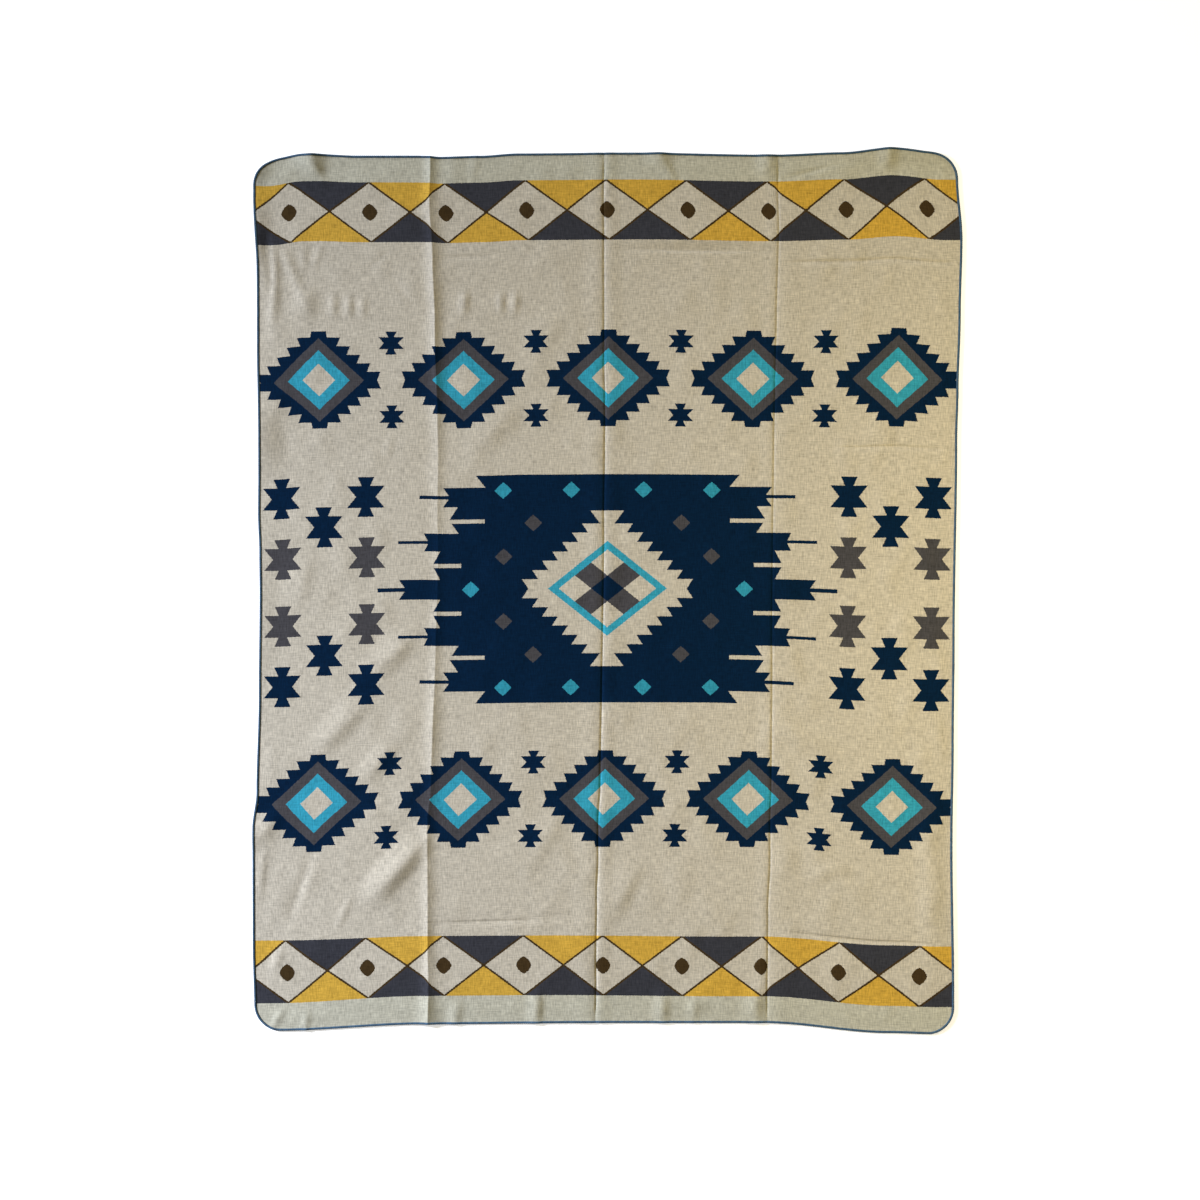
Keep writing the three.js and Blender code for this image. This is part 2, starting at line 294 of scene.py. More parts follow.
def mound(row, u, v):
    """Height times the square of (1 - a squared) times (1 - b to the crest power), on a turned line.

    a is the distance along the line as a share of the half length, and b is the distance from the line
    as a share of the half width on that side. Where either is past 1 there is no mound.
    """
    middle_u, middle_v, degrees, half_length, left, right, height = row
    turn = np.radians(degrees)
    a = ((u - middle_u) * np.cos(turn) + (v - middle_v) * np.sin(turn)) / half_length
    b = (v - middle_v) * np.cos(turn) - (u - middle_u) * np.sin(turn)
    b = np.abs(b) / np.where(b > 0, left, right)
    return height * (np.clip(1 - a**2, 0, 1) * np.clip(1 - b**CREST_POWER, 0, 1)) ** 2


# Rows are (wave length, direction in degrees, start in degrees, height)
SLACK_WAVES = [
    (310, 12, 40, 0.65),
    (190, 71, 200, 0.55),
    (131, 128, 10, 0.45),
    (97, 37, 300, 0.33),
    (83, 8, 120, 0.22),
    (67, 160, 90, 0.18),
    (53, 20, 250, 0.12),
    (41, 148, 30, 0.08),
]
SLACK_ROUNDING = 0.2


def slack(u, v):
    """A faint unevenness of the whole cloth: a sum of plane waves, its troughs flattened by the floor.

    The sum s is flattened to half of s plus the root of s squared plus the rounding squared.
    """
    total = 0
    for length, degrees, start, height in SLACK_WAVES:
        turn = np.radians(degrees)
        along = u * np.cos(turn) + v * np.sin(turn)
        total = total + height * np.sin(2 * np.pi * along / length + np.radians(start))
    return (total + np.hypot(total, SLACK_ROUNDING)) / 2


def fold_height(u, v):
    """How far the folds lift the cloth off the floor: their sum, level across the stitched rim."""
    u = np.clip(u, FLAT_RIM - WIDTH / 2, WIDTH / 2 - FLAT_RIM)
    v = np.clip(v, FLAT_RIM - LENGTH / 2, LENGTH / 2 - FLAT_RIM)
    height = ridge(LEFT_RIDGE, u, v) + valley(MIDDLE_VALLEY, u, v) + valley(RIGHT_VALLEY, u, v)
    return height + sum(mound(row, u, v) for row in SOFT_FOLDS + WRINKLES + HEM_RIPPLES)


print("soft folds:", len(SOFT_FOLDS), "wrinkles:", len(WRINKLES), "ripples:", len(HEM_RIPPLES))

# %% [markdown]
# The panel is a closed thin sheet. A grid would do for a rectangle, but the corners are rounded, so
# the outer columns draw in on the rows that cross a corner. Lines are close together at the creases,
# where the cloth bends sharply, and further apart elsewhere. The underside keeps every third line only,
# since nobody sees it. A UV map keeps each point's place on the flat cloth, and the woven pattern
# follows that map through every fold.

# %% Grid of the flat cloth
GRID_STEP = 7.4
CORNER_STEPS = 10
DRAWN_IN_FROM = 560
RIM_INSETS = np.array([0, 6, 12, 25, 40])
CREASE_OFFSETS = np.array([0, 1.5, 3.5, 6, 9, 12.5, 17, 22])
CROSSWISE_LINES = np.array([752, 775, 329, -764, -792])
CROSSWISE_OFFSETS = np.array([0, 1.5, 3.2, 5, 9])
BEND_REACH = 150


def both_ways(values):
    """The values and their negatives."""
    return np.concatenate([values, -np.asarray(values)])


def mean_place(rows):
    """A pressed line's mean place across."""
    return np.mean([row[ACROSS] for row in rows])


def bend(column, v):
    """How far columns move to follow the wandering pressed lines: less with distance from each."""
    total = 0
    for rows in PRESSED_LINES:
        near = np.clip(1 - np.abs(column - mean_place(rows)) / BEND_REACH, 0, 1)
        total = total + near * (eased(rows, v, ACROSS) - mean_place(rows))
    return total


def even_lines(fixed):
    """Grid lines through fixed places, with even ones between them no further apart than the step."""
    places = np.unique(np.round(fixed, 3))
    gaps = np.diff(places)
    steps = np.ceil(gaps / GRID_STEP).astype(int)
    starts = np.repeat(places[:-1], steps)
    counts = np.arange(steps.sum()) - np.repeat(np.cumsum(steps) - steps, steps)
    return np.append(starts + counts * np.repeat(gaps / steps, steps), places[-1])


def flat_grid():
    """Flat points on a grid: columns draw in towards the middle where a row crosses a rounded corner."""
    arc = CORNER_RADIUS * np.sin(np.linspace(0, np.pi / 2, CORNER_STEPS + 1))
    pressed = [mean_place(rows) + both_ways(CREASE_OFFSETS) for rows in PRESSED_LINES]
    crossing = np.add.outer(CROSSWISE_LINES, both_ways(CROSSWISE_OFFSETS)).ravel()
    columns = even_lines(np.concatenate([both_ways(WIDTH / 2 - RIM_INSETS), *pressed]))
    rows = even_lines(np.concatenate([both_ways(LENGTH / 2 - CORNER_RADIUS + arc), crossing]))
    column, v = np.meshgrid(columns, rows)
    over = np.clip(np.abs(v) - (LENGTH / 2 - CORNER_RADIUS), 0, CORNER_RADIUS)
    cut_back = CORNER_RADIUS - np.sqrt(CORNER_RADIUS**2 - over**2)
    outer = np.clip(np.abs(column) - DRAWN_IN_FROM, 0, None) / (WIDTH / 2 - DRAWN_IN_FROM)
    return column - np.sign(column) * cut_back * outer + bend(column, v), v


grid_u, grid_v = flat_grid()
print("grid:", grid_u.shape[1], "columns by", grid_u.shape[0], "rows")

# %% Thickness of the cloth
MIDDLE_NIP = 1.5
RIGHT_NIP = 1.0
NIP_WIDTH = 3.2
DEEPEST_CREASE = 2.4


def inset_from_edge(u, v):
    """Distance in from the cut edge of a rectangle with rounded corners."""
    over_u = np.abs(u) - (WIDTH / 2 - CORNER_RADIUS)
    over_v = np.abs(v) - (LENGTH / 2 - CORNER_RADIUS)
    outside = np.hypot(np.clip(over_u, 0, None), np.clip(over_v, 0, None))
    return CORNER_RADIUS - outside - np.clip(np.maximum(over_u, over_v), None, 0)


def nip(rows, u, v):
    """A pressed line pinched into the top face: 1 along the line, falling straight to 0 at its sides."""
    return np.clip(1 - np.abs(u - eased(rows, v)) / NIP_WIDTH, 0, 1)


def cloth_section(u, v):
    """Underside and top of the cloth: squeezed and lifted at the rim, and pinched along the creases."""
    share = np.clip((inset_from_edge(u, v) - FLAT_RIM) / (FULL_CLOTH - FLAT_RIM), 0, 1)
    full = share**2 * (3 - 2 * share)
    underside = fold_height(u, v) + slack(u, v) * full + (1 - full) * (YARN_THICKNESS + YARN_GAP)
    thickness = RIM_THICKNESS + full * (CLOTH_THICKNESS - RIM_THICKNESS)
    creases = sum(mound(row, u, v) for row in FINE_CREASES)
    creases = creases + MIDDLE_NIP * nip(MIDDLE_VALLEY, u, v) + RIGHT_NIP * nip(RIGHT_VALLEY, u, v)
    return underside, underside + thickness - full * np.clip(creases, 0, DEEPEST_CREASE)


print("cloth:", CLOTH_THICKNESS, "mm thick,", RIM_THICKNESS, "mm at its rim")

# %% From the grid to a mesh
UNDERSIDE_STRIDE = 3
PINCH_WIDTH = 14
# Rows are (place along, width of cloth hidden in the pressed line)
RIDGE_TAKES = [(-900, 9), (-650, 0), (600, 0), (850, 10)]
VALLEY_TAKES = [(-900, 8), (-650, 0), (600, 0), (850, 7)]
# Mounds of the distance by which the weave has been pulled down the cloth and to its left
PULLED_DOWN = [
    (620, -290, 0, 420, 420, 420, 8),
    (-330, -870, 0, 620, 330, 330, -5),
    (-800, -795, 0, 330, 70, 60, -6),
]
PULLED_LEFT = [(400, -900, 0, 620, 330, 330, 6)]


def grid_quads(index):
    """Quads between neighbouring rows and columns of a grid of point numbers."""
    corners = [index[:-1, :-1], index[:-1, 1:], index[1:, 1:], index[1:, :-1]]
    return np.stack(corners, -1).reshape(-1, 4)


def mesh_object(name, points, faces, uv):
    """A smooth mesh object from points in millimetres, arrays of faces and a UV place for each point."""
    mesh = bpy.data.meshes.new(name)
    mesh.from_pydata((points * MM).tolist(), [], [face for part in faces for face in part.tolist()])
    corners = np.concatenate([part.ravel() for part in faces])
    mesh.uv_layers.new(name="flat").data.foreach_set("uv", uv[corners].ravel())
    mesh.polygons.foreach_set("use_smooth", np.ones(len(mesh.polygons), bool))
    made = bpy.data.objects.new(name, mesh)
    bpy.context.scene.collection.objects.link(made)
    triangles = sum(len(part) * (part.shape[1] - 2) for part in faces)
    print(name, len(points), "points,", triangles, "triangles")
    return made


def woven_place(u, v):
    """Where a flat point is on the woven design: cloth pinched into a pressed line is skipped."""
    past_ridge = np.clip((eased(LEFT_RIDGE, v) - u) / PINCH_WIDTH + 0.5, 0, 1)
    past_valley = np.clip((u - eased(RIGHT_VALLEY, v)) / PINCH_WIDTH + 0.5, 0, 1)
    across = u - past_ridge * eased(RIDGE_TAKES, v) + past_valley * eased(VALLEY_TAKES, v)
    across = across + sum(mound(row, u, v) for row in PULLED_LEFT)
    along = v + sum(mound(row, u, v) for row in PULLED_DOWN)
    return np.stack([across / WIDTH + 0.5, along / LENGTH + 0.5], -1)


def rim_ring(index):
    """Point numbers once round a grid's border, in the order that walls its underside to its top."""
    return np.concatenate([index[0, :-1], index[:-1, -1], index[-1, :0:-1], index[:0:-1, 0]])


def closed_sheet(name, u, v, shift):
    """A top face, every third line of it turned over as the underside, and a wall round the rim.

    Each rim point of the top stands over the last underside line that it has passed, so the wall is a
    triangle where two stand over the same point and a quad where they do not.
    """
    x, y = lay(u, v)
    underside, top = cloth_section(u, v)
    kept = [np.unique(np.append(np.arange(0, count, UNDERSIDE_STRIDE), count - 1)) for count in u.shape]
    passed = [np.searchsorted(lines, np.arange(lines[-1] + 1), side="right") - 1 for lines in kept]
    picked = np.ix_(*kept)
    index = np.arange(u.size).reshape(u.shape)
    below = u.size + np.arange(u[picked].size).reshape(u[picked].shape)
    ring = rim_ring(index)
    after = np.roll(ring, -1)
    foot = rim_ring(below[np.ix_(*passed)])
    next_foot = np.roll(foot, -1)
    same = foot == next_foot
    triangles = np.stack([foot, after, ring], -1)[same]
    quads = np.stack([foot, next_foot, after, ring], -1)[~same]
    top_points = np.stack([x, y, top], -1).reshape(-1, 3)
    underside_points = np.stack([x, y, underside], -1)[picked].reshape(-1, 3)
    points = np.concatenate([top_points, underside_points]) + shift
    uv = woven_place(u, v)
    uv = np.concatenate([uv.reshape(-1, 2), uv[picked].reshape(-1, 2)])
    faces = [grid_quads(index), grid_quads(below)[:, ::-1], quads, triangles]
    return mesh_object(name, points, faces, uv)


# %% [markdown]
# The edging is yarn stitched over and over round the cut edge. A bevelled curve would give a plain
# tube, so a C-shaped section is carried round the outline instead, and its back rises and falls once
# a stitch, on a slant, as wrapped yarn does. The ring also says where the blanket's middle is, and
# both pieces are moved so that it lies over the middle of the solid edging.

# %% Outline of the cut and the edging carried round it
STITCH_PITCH = 4.5
STATIONS_PER_STITCH = 4
STITCH_BITE = 4.2
STITCH_RIDGE = 0.45
STITCH_SLANT = 0.7
STITCH_CROWN = 2
TIP_DROP = 0.5
TIP_SWELL = 0.4
BACK_DEPTH = 1
BACK_POINTS = 7
CORNER_POINTS = 46


def cut_outline(stitches):
    """Points round the flat cut, evenly spaced, with their outward directions.

    Each corner is a quarter circle, and a straight side joins the end of one to the start of the next,
    so the outward angle only turns at the corners.
    """
    quarter = np.linspace(0, np.pi / 2, CORNER_POINTS)
    angle = np.append((quarter + np.arange(4)[:, None] * np.pi / 2).ravel(), 2 * np.pi)
    side_u = np.append(np.repeat([1, -1, -1, 1], CORNER_POINTS), 1)
    side_v = np.append(np.repeat([1, 1, -1, -1], CORNER_POINTS), 1)
    u = side_u * (WIDTH / 2 - CORNER_RADIUS) + CORNER_RADIUS * np.cos(angle)
    v = side_v * (LENGTH / 2 - CORNER_RADIUS) + CORNER_RADIUS * np.sin(angle)
    travelled = np.append(0, np.cumsum(np.hypot(np.diff(u), np.diff(v))))
    stations = stitches * STATIONS_PER_STITCH
    place = np.arange(stations) / stations * travelled[-1]
    turned = np.interp(place, travelled, angle)
    return np.interp(place, travelled, u), np.interp(place, travelled, v), np.cos(turned), np.sin(turned)


def edging_section():
    """The C section as distance out and height, with the way each point swells and by how much.

    The back is half an oval round the cut edge. From there the yarn runs level along the rim, above and
    below it, and the upper tips of the stitches slope down towards the cloth. The inside is a square
    channel, one yarn further in. Only the back and the top swell.
    """
    height = RIM_THICKNESS + 2 * (YARN_GAP + YARN_THICKNESS)
    ceiling = height - YARN_THICKNESS
    turn = np.linspace(-np.pi / 2, np.pi / 2, BACK_POINTS)
    back_out = YARN_GAP + YARN_THICKNESS - BACK_DEPTH + BACK_DEPTH * np.cos(turn)
    back_up = height / 2 * (1 + np.sin(turn))
    below_out = [-STITCH_BITE, -STITCH_CROWN]
    above_out = [-STITCH_CROWN, -STITCH_BITE]
    channel_out = [-STITCH_BITE, YARN_GAP, YARN_GAP, -STITCH_BITE]
    channel_up = [ceiling, ceiling, YARN_THICKNESS, YARN_THICKNESS]
    out = np.concatenate([below_out, back_out, above_out, channel_out])
    up = np.concatenate([[0, 0], back_up, [height, height - TIP_DROP], channel_up])
    swell_out = np.concatenate([[0, 0], np.cos(turn), [0, 0], np.zeros(4)])
    swell_up = np.concatenate([[0, 0], np.clip(np.sin(turn), 0, 1), [1, TIP_SWELL], np.zeros(4)])
    return out, up, swell_out, swell_up


def edging_ring(stitches):
    """Points of the edging by station and section point, with the run and the share of the section.

    The run counts stitches. The lobe of a stitch is a sine of the run, without its sign, and the share
    puts it on a slant.
    """
    u, v, out_u, out_v = (part[:, None] for part in cut_outline(stitches))
    out, up, swell_out, swell_up = edging_section()
    share = np.arange(len(out)) / len(out)
    run = np.arange(len(u))[:, None] / STATIONS_PER_STITCH
    lobe = STITCH_RIDGE * np.abs(np.sin(np.pi * (run + STITCH_SLANT * share)))
    reach = out + lobe * swell_out
    x, y = lay(u + reach * out_u, v + reach * out_v)
    z = fold_height(u, v) + up + lobe * swell_up
    return x, y, z, *np.broadcast_arrays(run, share)


perimeter = 2 * (WIDTH + LENGTH) - (8 - 2 * np.pi) * CORNER_RADIUS
stitch_count = int(perimeter / STITCH_PITCH)
ring_x, ring_y, ring_z, ring_run, ring_share = edging_ring(stitch_count)
solid_low, solid_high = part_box("edge_binding")
shift_x = (solid_low.x + solid_high.x) / 2 / MM - (ring_x.min() + ring_x.max()) / 2
shift_y = (solid_low.y + solid_high.y) / 2 / MM - (ring_y.min() + ring_y.max()) / 2
shift = np.array([shift_x, shift_y, 0])
print("stitches:", stitch_count, "shift:", round(shift_x, 2), round(shift_y, 2), "mm")

# %% Make both pieces
ring_index = np.arange(ring_x.size).reshape(ring_x.shape)
ring_index = np.pad(ring_index, ((0, 1), (0, 1)), mode="wrap")
ring_points = np.stack([ring_x, ring_y, ring_z], -1).reshape(-1, 3) + shift
ring_uv = np.stack([ring_run, ring_share], -1).reshape(-1, 2)
edging = mesh_object("overcast_edge", ring_points, [grid_quads(ring_index)[:, ::-1]], ring_uv)
panel = closed_sheet("woven_panel", grid_u, grid_v, shift)

# %% [markdown]
# Materials are written as sums. The class below wraps a shader socket, so that an expression such as
# (x < 3) & (y < 5) adds the Math nodes that work it out over the surface. Masks are 0 or 1: "and" is
# the smaller of two masks and "or" the larger. One method makes every other kind of node.

# %% A shader socket with Python's operators


class Varying:
    """A value that varies over a surface. Operators on it add Math nodes to its tree."""

    def __init__(self, tree, socket=None):
        self.tree = tree
        self.socket = socket

    def node(self, kind, settings, sockets, output=0):
        """Adds a node of any kind: settings first, then its sockets take values or links."""
        made = self.tree.nodes.new(kind)
        for name, value in settings.items():
            setattr(made, name, value)
        for key, value in sockets.items():
            if isinstance(value, Varying):
                self.tree.links.new(value.socket, made.inputs[key])
            else:
                made.inputs[key].default_value = value
        return Varying(self.tree, made.outputs[output])

    def math(self, operation, *terms):
        """Adds a Math node."""
        return self.node("ShaderNodeMath", {"operation": operation}, dict(enumerate(terms)))

    def __add__(self, other):
        return self.math("ADD", self, other)

    __radd__ = __add__

    def __sub__(self, other):
        return self.math("SUBTRACT", self, other)

    def __rsub__(self, other):
        return self.math("SUBTRACT", other, self)

    def __mul__(self, other):
        return self.math("MULTIPLY", self, other)

    __rmul__ = __mul__

    def __truediv__(self, other):
        return self.math("DIVIDE", self, other)

    def __pow__(self, other):
        return self.math("POWER", self, other)

    def __abs__(self):
        return self.math("ABSOLUTE", self)

    def __lt__(self, other):
        return self.math("LESS_THAN", self, other)

    def __gt__(self, other):
        return self.math("GREATER_THAN", self, other)

    def __and__(self, other):
        return self.math("MINIMUM", self, other)

    def __or__(self, other):
        return self.math("MAXIMUM", self, other)

    def floor(self):
        """The whole number below."""
        return self.math("FLOOR", self)

    def line(self, slope, start):
        """slope times this value, plus start."""
        return self.math("MULTIPLY_ADD", self, slope, start)

    def nearest(self, pitch):
        """Distance to the nearest whole number of pitches."""
        return self.math("PINGPONG", self, pitch / 2)

    def noise(self, x, y, detail=2.0):
        """Smooth noise from 0 to 1 over the plane of x and y, about one swell to a unit."""
        place = self.node("ShaderNodeCombineXYZ", {}, {"X": x, "Y": y})
        sockets = {"Vector": place, "Scale": 1.0, "Detail": detail}
        return self.node("ShaderNodeTexNoise", {"noise_dimensions": "2D"}, sockets)

    def mix(self, mask, under, over):
        """One colour over another, where the mask is 1."""
        settings = {"data_type": "RGBA"}
        return self.node("ShaderNodeMix", settings, {0: mask, 6: under, 7: over}, output=2)

    def brighten(self, colour, share):
        """A colour times a share that varies."""
        settings = {"operation": "SCALE"}
        return self.node("ShaderNodeVectorMath", settings, {0: colour, "Scale": share})


def yarn_colour(red, green, blue):
    """A yarn's colour, from 0 to 255 as a screen shows it, as linear values by the screen's curve."""
    screen = np.array([red, green, blue]) / 255
    linear = np.where(screen <= 0.04045, screen / 12.92, ((screen + 0.055) / 1.055) ** 2.4)
    return (*linear.tolist(), 1.0)


def start_material(name):
    """A new material, the tree that sums are written on, and its main shader."""
    material = bpy.data.materials.new(name)
    material.use_nodes = True
    return material, Varying(material.node_tree), material.node_tree.nodes["Principled BSDF"]


def uv_place(shade):
    """The two coordinates of a piece's own UV map."""
    place = shade.node("ShaderNodeUVMap", {"uv_map": "flat"}, {})
    return [shade.node("ShaderNodeSeparateXYZ", {}, {0: place}, output=axis) for axis in (0, 1)]


def set_sockets(shader, values):
    """Gives several sockets of a shader plain values."""
    for name, value in values.items():
        shader.inputs[name].default_value = value


# %% [markdown]
# The design is the kind that weavers chart on squared paper: serrated diamonds, hourglass stars, lozenge
# bands and a stepped medallion. An image would be blunt at this size, so each motif is a small test on
# two numbers, the ends across and the picks along from the middle of the cloth. Mirror images come from
# taking distances without their sign.

# %% Motifs in ends and picks
ENDS = 696
PICKS = 872


def flare(x, off, middle, spread, reach):
    """A block with a half width on its middle line that spreads with each pick away, up to its reach."""
    return (x < off.line(spread, middle)) & (off < reach)


def hourglass_star(x, off, waist, flared, body, neck, brim, tip):
    """Two flared halves back to back, with a smaller flared cap on each end."""
    halves = flare(x, off, waist, (flared - waist) / body, body)
    slope = (brim - neck) / (tip - body)
    return halves | flare(x, off, neck - body * slope, slope, tip)


def lozenge(x, off, wide, high):
    """Distance from a lozenge's middle as a share: 1 on its outline."""
    return off.line(1 / high, x / wide)


def serrated(x, off, tallest, step, widest_top, grow, undercut):
    """A diamond with saw teeth: at each step from its end the half width jumps out, then undercuts."""
    steps = off.line(-1 / step, tallest / step)
    whole = steps.floor()
    half_width = whole.line(grow + undercut, steps.line(-undercut, widest_top))
    return (x < half_width) & (off < tallest)


print("chart:", ENDS, "ends by", PICKS, "picks")

# %% The diamond rows and the stars
ROW_PLACE = 211
DIAMOND_PITCH = 143.75
# Half height, height of a tooth, half width at the end, growth and undercut of a tooth
DIAMOND_TEETH = (42.5, 8.5, 21.4, 10, 3.3)
# Half width in the middle, spread a pick, half height
DIAMOND_CAP = (16, -0.18, 48.6)
# Half width, half height
GREY_LOZENGE = (45, 41.5)
TURQUOISE_LOZENGE = (31, 29.5)
PALE_LOZENGE = (16.4, 16.4)
# Half widths at the waist and where it flares, half height there, half widths of the caps where they
# start and end, and half height with the caps
SMALL_STAR = (7, 12.9, 6.2, 3.1, 5.6, 11.4)
BIG_STAR = (9.9, 18.5, 10.8, 4.3, 8.4, 20.2)
SMALL_STAR_PLACE = 37
SMALL_STARS_END = 300
# The big stars stand in a middle column and one on each side of it
BIG_STAR_COLUMN = 283
SIDE_COLUMN = 42
NAVY_SIDE_ROW = 94
NAVY_MIDDLE_ROW = 64
GREY_SIDE_ROW = 33.5


def diamond_row(x, v):
    """Masks of a row of diamonds and small stars: navy bodies, grey rings, turquoise and pale hearts."""
    off = abs(abs(v) - ROW_PLACE)
    near = x.nearest(DIAMOND_PITCH)
    body = serrated(near, off, *DIAMOND_TEETH) | flare(near, off, *DIAMOND_CAP)
    between = DIAMOND_PITCH / 2 - near
    stars = hourglass_star(between, abs(off - SMALL_STAR_PLACE), *SMALL_STAR) & (x < SMALL_STARS_END)
    ring = lozenge(near, off, *GREY_LOZENGE) < 1
    inner = lozenge(near, off, *TURQUOISE_LOZENGE) < 1
    heart = lozenge(near, off, *PALE_LOZENGE) < 1
    return body | stars, ring, inner, heart


def side_stars(x, y):
    """Masks of the big stars in the side fields: the navy ones and the grey ones."""
    middle = abs(x - BIG_STAR_COLUMN)
    side = abs(middle - SIDE_COLUMN)
    navy_sides = hourglass_star(side, abs(y - NAVY_SIDE_ROW), *BIG_STAR)
    navy_middle = hourglass_star(middle, abs(y - NAVY_MIDDLE_ROW), *BIG_STAR)
    return navy_sides | navy_middle, hourglass_star(side, abs(y - GREY_SIDE_ROW), *BIG_STAR)


print("diamonds every", DIAMOND_PITCH, "ends, in two rows")

# %% The medallion
# Rows are (distance from the middle line, half width there, spread a pick, half height)
MEDALLION_STEPS = [
    (0, 202, 0.71, 9.8),
    (24.1, 175.4, -0.55, 14.4),
    (47.3, 179, 0.53, 9.0),
    (69.9, 158, -0.68, 13.4),
    (92.9, 157, 0.72, 9.7),
    (102.6, 122, 0.8, 12.1),
]
# Rows are (distance from the middle line, half width, half thickness)
MEDALLION_BARS = [(0, 230.3, 1.9), (47.5, 209.4, 1.7), (92.7, 187.4, 1.7)]
MEDALLION_SLITS = [(24.1, 146.4, 1.9), (68.5, 122.3, 1.9)]
# Rows are (across, along)
TURQUOISE_SPECKS = [(104, 99), (36, 99), (137, 0)]
GREY_SPECKS = [(74, 66), (104, 32.5)]
SPECK = (8.8, 8.4)
# The pale diamond in the middle is described as the diamonds in the rows are
HEART_TEETH = (65.1, 9.3, 25.3, 10, 6)
HEART_CAP = (-41.8, 0.75, 78.1)
HEART_CAP_FROM = 65
# Half sizes of its turquoise outline, the share that lies inside it, and the check's middle as a share
# of that
OUTLINE_WIDE = 59.6
OUTLINE_HIGH = 47.6
OUTLINE_INSIDE = 0.82
CHECK_MIDDLE = 1 / 3


def any_of(masks):
    """The largest of several masks."""
    masks = list(masks)
    joined = masks[0]
    for mask in masks[1:]:
        joined = joined | mask
    return joined


def medallion_body(x, y):
    """The stepped navy field: flared blocks, thin bars past them, and pale slits cut in."""
    blocks = any_of(flare(x, abs(y - at), *block) for at, *block in MEDALLION_STEPS)
    bars = any_of((x < wide) & (abs(y - at) < thick) for at, wide, thick in MEDALLION_BARS)
    slits = any_of((x > wide) & (abs(y - at) < thick) for at, wide, thick in MEDALLION_SLITS)
    return (blocks & (1 - slits)) | bars


def specks(x, y, places):
    """Small diamonds at a few places of each quarter."""
    return any_of(lozenge(abs(x - across), abs(y - along), *SPECK) < 1 for across, along in places)


def medallion_heart(u, v, x, y):
    """Masks of the pale serrated diamond, its turquoise outline, and the rotated check inside that."""
    pale = serrated(x, y, *HEART_TEETH) | (flare(x, y, *HEART_CAP) & (y > HEART_CAP_FROM))
    rim = lozenge(x, y, OUTLINE_WIDE, OUTLINE_HIGH)
    falling = abs(u.line(1 / OUTLINE_WIDE, v / OUTLINE_HIGH)) / OUTLINE_INSIDE
    rising = abs(u.line(1 / OUTLINE_WIDE, v / -OUTLINE_HIGH)) / OUTLINE_INSIDE
    outline = (rim < 1) & (rim > OUTLINE_INSIDE)
    inside = rim < OUTLINE_INSIDE
    centre = (falling < CHECK_MIDDLE) & (rising < CHECK_MIDDLE)
    sides = ((falling < CHECK_MIDDLE) | (rising < CHECK_MIDDLE)) & inside
    return pale, outline, sides, centre


print("medallion steps:", len(MEDALLION_STEPS), "bars:", len(MEDALLION_BARS))

# %% The lozenge bands
BAND_PLACE = 379.5
BAND_HALF = 30
LOZENGE_PITCH = 79.6
DOT_WIDE = 7.6
DOT_HIGH = 8.5
DOT_POWER = 1.5
BROWN_LINE = 0.04


def lozenge_band(x, v):
    """Masks of a band: all of it, yellow triangles, lozenges, and brown dots and outlines."""
    off = v - v.math("SIGN", v) * BAND_PLACE
    near = x.nearest(LOZENGE_PITCH)
    within = lozenge(near, abs(off), LOZENGE_PITCH / 2, BAND_HALF)
    band = abs(off) < BAND_HALF
    turned = (x / LOZENGE_PITCH).floor() + (off > 0)
    yellow = turned.math("MODULO", turned, 2) > 0.5
    dots = ((near / DOT_WIDE) ** DOT_POWER + (abs(off) / DOT_HIGH) ** DOT_POWER) < 1
    outlines = abs(within - 1) < BROWN_LINE
    return band, yellow, within < 1, (dots | outlines) & band


print("lozenges every", LOZENGE_PITCH, "ends, in two bands")

# %% [markdown]
# The cloth is brushed and heathered: each yarn is a little uneven, warp threads make fine upright
# streaks and picks fine level ones, and the edges of the motifs step from thread to thread. The pattern
# is read on whole threads after a small wobble. The same streaks drive colour and bump, so the light
# catches what the eye sees as thread.

# %% Cloth material
BEIGE = yarn_colour(186, 179, 163)
YELLOW = yarn_colour(195, 156, 62)
CHARCOAL = yarn_colour(54, 55, 61)
NAVY = yarn_colour(4, 29, 54)
GREY = yarn_colour(68, 67, 70)
BROWN = yarn_colour(62, 48, 27)
HEM = yarn_colour(180, 178, 161)
TURQUOISE = yarn_colour(50, 148, 172)
THREADS_PER_CELL = 2
WOBBLE = 0.5
# Where in the noise the second wobble and the weft start, so that they do not repeat the first ones
WOBBLE_START = 31
WEFT_START = 57
SPECK_COVER = 0.85
# How much of each kind of unevenness goes into the yarn's brightness, and the least brightness
WARP_SHARE = 0.8
WEFT_SHARE = 0.6
SLUB_SHARE = 0.12
LEAST_BRIGHT = 0.24


def woven_colour(shade, u, v):
    """The colour of the charted design at a place in ends and picks."""
    x = abs(u)
    y = abs(v)
    body, ring, inner, heart = diamond_row(x, v)
    navy_stars, grey_stars = side_stars(x, y)
    field = medallion_body(x, y)
    pale, outline, sides, centre = medallion_heart(u, v, x, y)
    band, yellow, lozenges, brown = lozenge_band(x, v)
    colour = shade.mix(y > BAND_PLACE, BEIGE, HEM)
    colour = shade.mix(body | navy_stars | field, colour, NAVY)
    colour = shade.mix(ring | grey_stars | specks(x, y, GREY_SPECKS), colour, GREY)
    colour = shade.mix(inner | specks(x, y, TURQUOISE_SPECKS) * SPECK_COVER, colour, TURQUOISE)
    colour = shade.mix(heart | pale, colour, BEIGE)
    colour = shade.mix(outline, colour, TURQUOISE)
    colour = shade.mix(sides, colour, GREY)
    colour = shade.mix(centre, colour, NAVY)
    triangles = shade.mix(yellow, CHARCOAL, YELLOW)
    colour = shade.mix(band, colour, shade.mix(lozenges, triangles, BEIGE))
    return shade.mix(brown, colour, BROWN)


